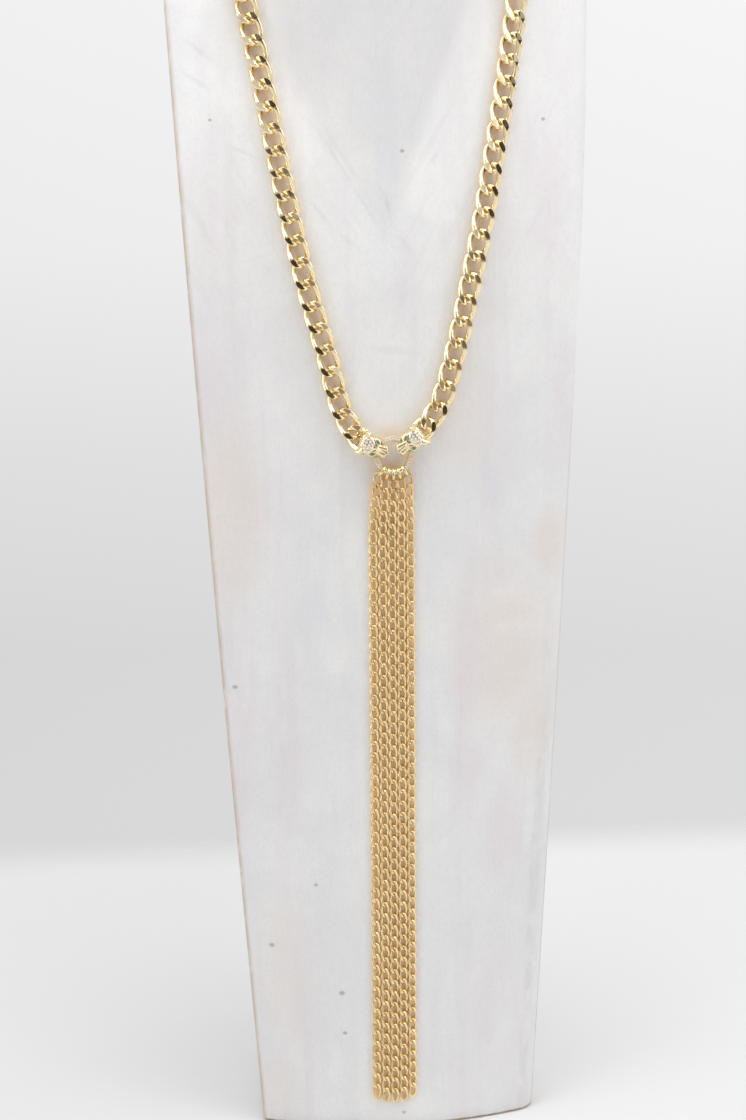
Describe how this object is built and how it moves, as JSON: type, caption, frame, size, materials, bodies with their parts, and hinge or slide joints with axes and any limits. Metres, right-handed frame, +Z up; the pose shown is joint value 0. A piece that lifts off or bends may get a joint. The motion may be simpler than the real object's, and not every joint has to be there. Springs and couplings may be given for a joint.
{
  "type": "tie necklace on a neck bust",
  "caption": "Curb-chain tie necklace whose cat-head connectors bite a stone-set ring with a long chain fringe, worn on a plain whitewashed wooden neck bust.",
  "frame": {"origin": "middle of the footprint of the whole box, on the surface that the foot of the bust stands on", "axes": "+Z up, -Y to the front of the bust, where the ring and the fringe hang, and +X to the right of a viewer in front"},
  "size_m": [0.169, 0.0951, 0.545],
  "materials": {
    "whitewashed_wood": "matt whitewash with faint upright grain, worn brown at the edges",
    "yellow_gold": "polished, with flat bright cuts",
    "pale_gold": "polished cast",
    "fringe_gold": "polished, deeper in tone",
    "clear_stone": "faceted",
    "green_stone": "faceted"
  },
  "bodies": {
    "root": {"neck_bust": "whitewashed_wood", "chain_left": "yellow_gold", "chain_right": "yellow_gold", "clasp": "yellow_gold", "cat_head_left": "pale_gold", "cat_head_right": "pale_gold", "eye_stone_1": "green_stone", "eye_stone_2": "green_stone", "eye_stone_3": "green_stone", "eye_stone_4": "green_stone", "pave_left": "clear_stone", "pave_right": "clear_stone", "drop_ring": "pale_gold", "pave_ring": "clear_stone", "fringe_ring_1": "yellow_gold", "fringe_ring_2": "yellow_gold", "fringe_ring_3": "yellow_gold", "fringe_ring_4": "yellow_gold", "fringe_ring_5": "yellow_gold", "fringe_chain_1": "fringe_gold", "fringe_chain_2": "fringe_gold", "fringe_chain_3": "fringe_gold", "fringe_chain_4": "fringe_gold", "fringe_chain_5": "fringe_gold"}
  },
  "joints": []
}
